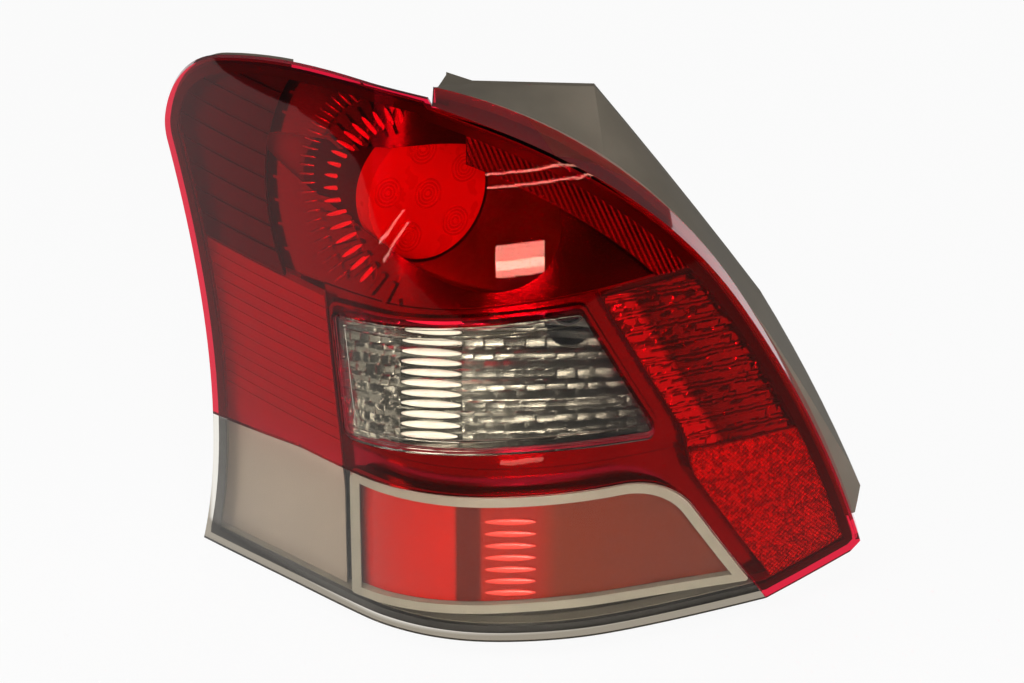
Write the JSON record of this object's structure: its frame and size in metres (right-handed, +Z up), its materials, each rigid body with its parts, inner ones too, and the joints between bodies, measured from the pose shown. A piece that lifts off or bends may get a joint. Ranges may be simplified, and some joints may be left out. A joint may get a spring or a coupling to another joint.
{
  "type": "tail light cluster",
  "caption": "Wrap-around car tail light with a red and clear crowned lens, LED and bulb lamps in a grey housing, and studs with a locating pin on its back.",
  "frame": {"origin": "seat of the main stud on the flat back plane of the housing", "axes": "+X to the right as seen from outside, +Y along the draw into the car body, +Z up"},
  "size_m": [0.378, 0.2249, 0.2957],
  "materials": {
    "red_lens_plastic": "polished transparent red",
    "clear_lens_plastic": "polished clear",
    "sealant": "matt",
    "grey_housing_plastic": "fine grained",
    "metallised_plastic": "vacuum metallised",
    "grey_panel_plastic": "satin",
    "dark_trim_plastic": "satin",
    "red_optic_plastic": "moulded optics",
    "pale_frame_plastic": "polished",
    "red_inner_lens_plastic": "fluted transparent",
    "led_ceramic": "satin",
    "circuit_board": "solder mask",
    "black_plastic": "fine grained",
    "steel": "zinc plated",
    "bulb_glass": "clear",
    "black_rubber": "matt",
    "tinned_brass": "tinned",
    "white_plastic": "satin",
    "foam_rubber": "open foam"
  },
  "bodies": {
    "root": {"lens_red": "red_lens_plastic", "lens_clear_window": "clear_lens_plastic", "lens_clear_lower": "clear_lens_plastic", "lens_seal": "sealant", "housing": "grey_housing_plastic", "upper_side_reflector": "metallised_plastic", "side_bezel": "grey_panel_plastic", "bowl_reflector": "metallised_plastic", "edge_trim": "dark_trim_plastic", "right_reflector": "metallised_plastic", "reflex_reflector": "red_optic_plastic", "middle_reflector": "metallised_plastic", "lower_bezel": "pale_frame_plastic", "lower_inner_lens": "red_inner_lens_plastic", "lower_reflector": "metallised_plastic", "led_lens": "red_optic_plastic", "led_optics": "red_inner_lens_plastic", "led_emitters": "led_ceramic", "led_board": "circuit_board", "led_carrier": "black_plastic", "led_screws": "steel", "middle_bulb": "bulb_glass", "middle_bulb_holder": "black_plastic", "middle_holder_seal": "black_rubber", "lower_bulb": "bulb_glass", "lower_bulb_holder": "black_plastic", "lower_holder_seal": "black_rubber", "led_connector": "black_plastic", "connector_terminals": "tinned_brass", "mounting_studs": "steel", "locating_pin": "white_plastic", "vent_caps": "black_rubber", "back_gasket": "foam_rubber"}
  },
  "joints": []
}
